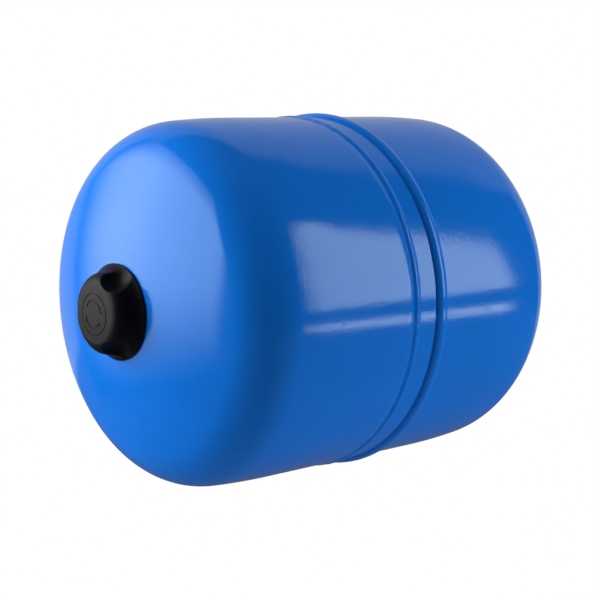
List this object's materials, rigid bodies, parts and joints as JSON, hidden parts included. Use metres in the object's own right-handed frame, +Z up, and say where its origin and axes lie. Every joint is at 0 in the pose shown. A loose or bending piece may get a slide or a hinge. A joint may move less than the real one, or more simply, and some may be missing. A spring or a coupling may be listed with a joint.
{
  "type": "expansion vessel",
  "caption": "Blue steel diaphragm expansion vessel on its side, with a ribbed welded seam, a threaded water connection and a black screw cap over the charging valve.",
  "frame": {"origin": "on the vessel's axis, at the shoulder of the water connection where its thread begins", "axes": "+X along the axis and out of the water connection, away from the capped charging valve; +Z up with the vessel lying on its side"},
  "size_m": [0.394, 0.2759, 0.276],
  "materials": {
    "blue_enamel": "gloss with fine orange peel",
    "zinc_steel": "zinc plated",
    "stainless_steel": "turned",
    "spring_steel": "bright wire",
    "brass": "turned",
    "butyl_rubber": "matt moulded",
    "seal_rubber": "matt moulded",
    "liner_plastic": "natural polypropylene",
    "black_plastic": "fine moulded grain"
  },
  "bodies": {
    "vessel": {"air_shell": "blue_enamel", "water_shell": "blue_enamel", "seam_weld": "blue_enamel", "clamp_ring": "zinc_steel", "diaphragm_rim": "butyl_rubber", "diaphragm_wall": "butyl_rubber", "water_liner": "liner_plastic", "water_connection": "stainless_steel", "connection_weld": "blue_enamel", "connection_o_ring": "seal_rubber", "air_valve_body": "brass", "valve_gasket": "seal_rubber", "cap_collar": "black_plastic", "valve_washer": "zinc_steel", "valve_nut": "zinc_steel", "valve_core_barrel": "brass", "valve_core_seal": "seal_rubber", "valve_core_spring": "spring_steel"},
    "diaphragm": {"diaphragm_crown": "butyl_rubber"},
    "cap_carrier": {"cap_seal_ring": "seal_rubber"},
    "screw_cap": {"protective_cap": "black_plastic"},
    "core_pin": {"valve_pin": "brass", "valve_poppet": "brass", "poppet_seal": "seal_rubber"}
  },
  "joints": [
    {"name": "cap_lift", "type": "slide", "parent": "vessel", "child": "cap_carrier", "axis": [-1, 0, 0], "range_m": [0, 0.0101]},
    {"name": "cap_turn", "type": "hinge", "parent": "cap_carrier", "child": "screw_cap", "pos_m": [-0.365, 0, 0], "axis": [-1, 0, 0], "range_deg": [0, 1200]},
    {"name": "valve_pin_press", "type": "slide", "parent": "vessel", "child": "core_pin", "axis": [1, 0, 0], "range_m": [0, 0.0012], "stiffness_N_per_m": 500, "springref_m": -0.004, "deforming": ["valve_core_spring"]},
    {"name": "diaphragm_travel", "type": "slide", "parent": "vessel", "child": "diaphragm", "axis": [-1, 0, 0], "range_m": [0, 0.09], "stiffness_N_per_m": 60, "deforming": ["diaphragm_wall"]}
  ],
  "couplings": [
    {"joint": "cap_lift", "follows": "cap_turn", "m_per_rad": 0.00047746}
  ]
}
